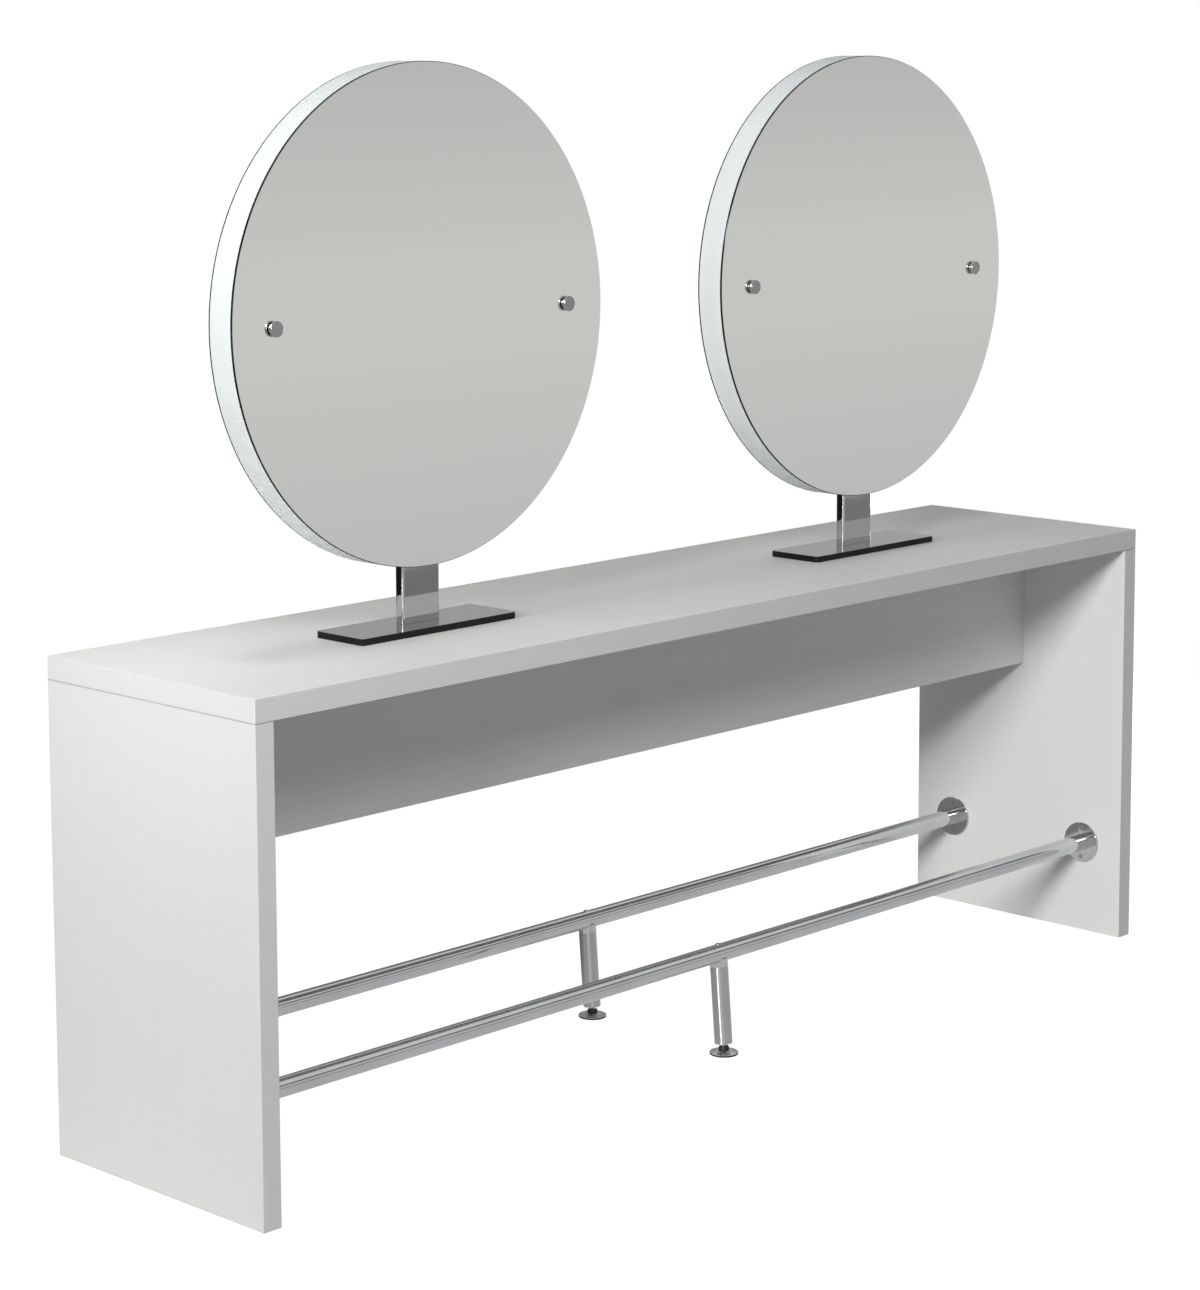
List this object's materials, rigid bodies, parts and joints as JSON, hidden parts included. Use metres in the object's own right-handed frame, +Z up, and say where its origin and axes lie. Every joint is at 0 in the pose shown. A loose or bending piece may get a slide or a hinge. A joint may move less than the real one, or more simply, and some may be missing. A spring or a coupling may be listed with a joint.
{
  "type": "double sided salon station",
  "caption": "White double sided salon styling table with round two-faced mirrors on chrome posts and a chrome foot rail along each side on adjustable legs.",
  "frame": {"origin": "on the floor under the middle of the table", "axes": "+X along the table to the right of someone facing its front, +Y from front to back, +Z up"},
  "size_m": [2.4, 0.534, 1.849],
  "materials": {
    "board": "white melamine with a fine pressed grain, satin",
    "chrome": "polished",
    "steel": "zinc plated",
    "mirror": "silvered float glass",
    "rim": "white edge band, satin",
    "fibreboard": "raw fibreboard, hidden",
    "nylon": "black, moulded",
    "rubber": "black, matt"
  },
  "bodies": {
    "station": {"table_top": "board", "left_side_panel": "board", "right_side_panel": "board", "stretcher_panel": "board", "front_left_rail_flange": "chrome", "front_left_flange_upper_screw": "chrome", "front_left_flange_lower_screw": "chrome", "front_right_rail_flange": "chrome", "front_right_flange_upper_screw": "chrome", "front_right_flange_lower_screw": "chrome", "back_left_rail_flange": "chrome", "back_left_flange_upper_screw": "chrome", "back_left_flange_lower_screw": "chrome", "back_right_rail_flange": "chrome", "back_right_flange_upper_screw": "chrome", "back_right_flange_lower_screw": "chrome", "front_foot_rail": "chrome", "front_leg_saddle": "chrome", "front_leg_screw": "steel", "front_leg_tube": "chrome", "front_leg_insert": "steel", "back_foot_rail": "chrome", "back_leg_saddle": "chrome", "back_leg_screw": "steel", "back_leg_tube": "chrome", "back_leg_insert": "steel", "left_mirror_base_plate": "chrome", "left_mirror_post": "chrome", "left_mirror_front_anchor_bolt": "steel", "left_mirror_back_anchor_bolt": "steel", "left_mirror_core": "fibreboard", "left_mirror_rim": "rim", "left_mirror_post_bolt": "steel", "left_mirror_front_glass": "mirror", "left_mirror_front_left_knob": "chrome", "left_mirror_front_right_knob": "chrome", "left_mirror_back_glass": "mirror", "left_mirror_back_left_knob": "chrome", "left_mirror_back_right_knob": "chrome", "right_mirror_base_plate": "chrome", "right_mirror_post": "chrome", "right_mirror_front_anchor_bolt": "steel", "right_mirror_back_anchor_bolt": "steel", "right_mirror_core": "fibreboard", "right_mirror_rim": "rim", "right_mirror_post_bolt": "steel", "right_mirror_front_glass": "mirror", "right_mirror_front_left_knob": "chrome", "right_mirror_front_right_knob": "chrome", "right_mirror_back_glass": "mirror", "right_mirror_back_left_knob": "chrome", "right_mirror_back_right_knob": "chrome"},
    "front_hub": {"front_foot_hub": "nylon"},
    "front_stem": {"front_foot_stem": "steel"},
    "front_foot": {"front_foot_disc": "chrome", "front_foot_pad": "rubber"},
    "back_hub": {"back_foot_hub": "nylon"},
    "back_stem": {"back_foot_stem": "steel"},
    "back_foot": {"back_foot_disc": "chrome", "back_foot_pad": "rubber"}
  },
  "joints": [
    {"name": "front_foot_height", "type": "slide", "parent": "station", "child": "front_hub", "axis": [0, -0.0785, -0.9969], "range_m": [-0.003, 0.009]},
    {"name": "front_stem_turn", "type": "hinge", "parent": "front_hub", "child": "front_stem", "pos_m": [0, -0.18417, 0.01], "axis": [0, -0.0785, -0.9969], "range_deg": [-725, 2165]},
    {"name": "front_foot_tilt", "type": "hinge", "parent": "front_hub", "child": "front_foot", "pos_m": [0, -0.18417, 0.01], "axis": [1, 0, 0], "range_deg": [-8, 8]},
    {"name": "back_foot_height", "type": "slide", "parent": "station", "child": "back_hub", "axis": [0, -0.0785, -0.9969], "range_m": [-0.003, 0.009]},
    {"name": "back_stem_turn", "type": "hinge", "parent": "back_hub", "child": "back_stem", "pos_m": [0, 0.15583, 0.01], "axis": [0, -0.0785, -0.9969], "range_deg": [-725, 2165]},
    {"name": "back_foot_tilt", "type": "hinge", "parent": "back_hub", "child": "back_foot", "pos_m": [0, 0.15583, 0.01], "axis": [1, 0, 0], "range_deg": [-8, 8]}
  ],
  "couplings": [
    {"joint": "front_stem_turn", "follows": "front_foot_height", "rad_per_m": 4188.8},
    {"joint": "back_stem_turn", "follows": "back_foot_height", "rad_per_m": 4188.8}
  ]
}
